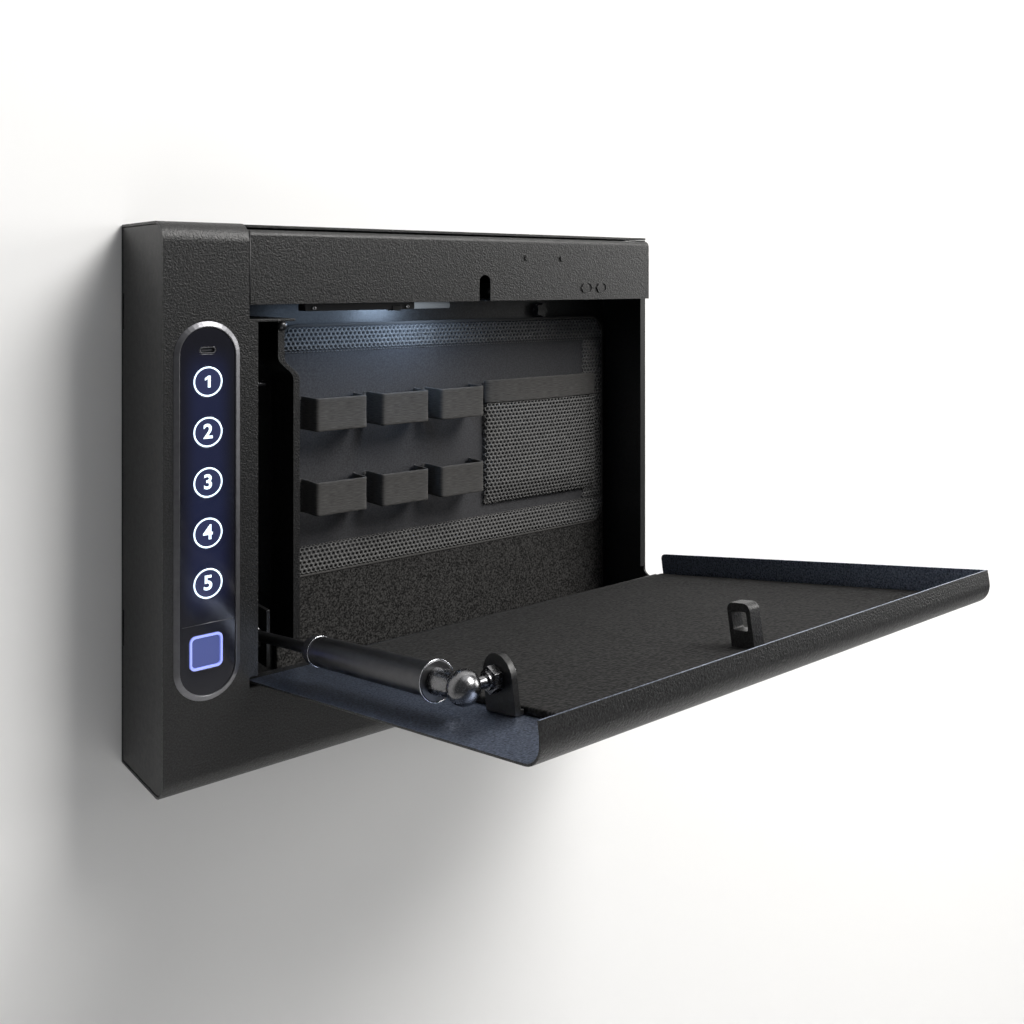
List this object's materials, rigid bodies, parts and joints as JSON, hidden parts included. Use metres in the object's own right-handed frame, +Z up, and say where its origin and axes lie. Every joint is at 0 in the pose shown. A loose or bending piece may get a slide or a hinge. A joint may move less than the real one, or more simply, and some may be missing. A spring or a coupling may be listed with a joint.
{
  "type": "wall safe",
  "caption": "Shallow wall safe with a keypad column on the left and a door that drops down on a piano hinge, held by a ball-ended strut",
  "frame": {"origin": "centre of the back face, the face that lies on the wall", "axes": "+Z up, +X to the right as you face the safe, +Y into the wall, so the front faces -Y"},
  "size_m": [0.405, 0.3379, 0.33],
  "materials": {
    "black_steel": "fine textured black powder coat",
    "dark_plastic": "moulded black, satin",
    "gloss_panel": "gloss black",
    "key_glow": "black cap with a glowing ring and digit",
    "charcoal_foam": "closed-cell foam, speckled charcoal",
    "grey_webbing": "woven elastic, grey-brown",
    "mesh_cloth": "black mesh over grey backing",
    "bright_steel": "plain steel",
    "dark_chrome": "black chrome",
    "circuit_board": "green laminate with components",
    "lamp_lens": "frosted white lens"
  },
  "bodies": {
    "case": {"back_foam": "charcoal_foam", "back_plate": "black_steel", "battery_bracket": "black_steel", "battery_pack": "dark_plastic", "bay_cross_pin": "bright_steel", "bay_front_strip": "black_steel", "bay_partition": "black_steel", "bay_screw": "black_steel", "charge_port": "bright_steel", "column_divider": "black_steel", "control_board": "circuit_board", "elastic_loop_1_lower": "grey_webbing", "elastic_loop_1_upper": "grey_webbing", "elastic_loop_2_lower": "grey_webbing", "elastic_loop_2_upper": "grey_webbing", "elastic_loop_3_lower": "grey_webbing", "elastic_loop_3_upper": "grey_webbing", "fingerprint_frame": "bright_steel", "fingerprint_sensor": "gloss_panel", "header_channel": "black_steel", "hinge_leaf_fixed": "bright_steel", "hinge_pin": "bright_steel", "keypad_bezel": "dark_plastic", "keypad_board": "circuit_board", "keypad_panel": "gloss_panel", "latch_bracket": "black_steel", "latch_spring": "bright_steel", "led_bar": "dark_plastic", "led_lens": "lamp_lens", "left_side_panel": "black_steel", "mesh_pocket": "mesh_cloth", "organiser_panel": "mesh_cloth", "pocket_band": "grey_webbing", "right_side_panel": "black_steel", "solenoid_body": "dark_plastic", "strut_anchor_bracket": "black_steel", "wall_bolt_1": "dark_plastic", "wall_bolt_2": "dark_plastic", "wall_bolt_3": "dark_plastic", "wall_bolt_4": "dark_plastic", "wrap_shell": "black_steel"},
    "door": {"door_skin": "black_steel", "door_foam": "charcoal_foam", "door_striker": "black_steel", "strut_door_bracket": "dark_chrome", "ball_stud": "dark_chrome", "stud_nut": "dark_chrome", "hinge_leaf_door": "bright_steel"},
    "strut_barrel": {"strut_tube": "dark_chrome", "strut_guide_cap": "black_steel", "strut_socket": "dark_chrome"},
    "strut_plunger": {"strut_rod": "bright_steel", "strut_rod_end": "bright_steel"},
    "latch_slider": {"latch_bolt": "bright_steel", "solenoid_plunger": "bright_steel"},
    "key_1_button": {"key_1": "key_glow"},
    "key_2_button": {"key_2": "key_glow"},
    "key_3_button": {"key_3": "key_glow"},
    "key_4_button": {"key_4": "key_glow"},
    "key_5_button": {"key_5": "key_glow"}
  },
  "joints": [
    {"name": "door_hinge", "type": "hinge", "parent": "case", "child": "door", "pos_m": [0, -0.0668, -0.1053], "axis": [-1, 0, 0], "range_deg": [0, 80.5]},
    {"name": "strut_pivot", "type": "hinge", "parent": "door", "child": "strut_barrel", "pos_m": [-0.1305, -0.25938, -0.05827], "axis": [1, 0, 0], "range_deg": [0, 8.8]},
    {"name": "rod_slide", "type": "slide", "parent": "strut_barrel", "child": "strut_plunger", "axis": [0, -0.9884, 0.1517], "range_m": [0, 0.0478]},
    {"name": "latch_slide", "type": "slide", "parent": "case", "child": "latch_slider", "axis": [-1, 0, 0], "range_m": [0, 0.012], "deforming": ["latch_spring"]},
    {"name": "key_1_press", "type": "slide", "parent": "case", "child": "key_1_button", "axis": [0, 1, 0], "range_m": [0, 0.0008], "stiffness_N_per_m": 400},
    {"name": "key_2_press", "type": "slide", "parent": "case", "child": "key_2_button", "axis": [0, 1, 0], "range_m": [0, 0.0008], "stiffness_N_per_m": 400},
    {"name": "key_3_press", "type": "slide", "parent": "case", "child": "key_3_button", "axis": [0, 1, 0], "range_m": [0, 0.0008], "stiffness_N_per_m": 400},
    {"name": "key_4_press", "type": "slide", "parent": "case", "child": "key_4_button", "axis": [0, 1, 0], "range_m": [0, 0.0008], "stiffness_N_per_m": 400},
    {"name": "key_5_press", "type": "slide", "parent": "case", "child": "key_5_button", "axis": [0, 1, 0], "range_m": [0, 0.0008], "stiffness_N_per_m": 400}
  ],
  "couplings": [
    {"joint": "strut_pivot", "follows": "door_hinge", "ratio": 0.108},
    {"joint": "rod_slide", "follows": "door_hinge", "m_per_rad": 0.033808}
  ]
}
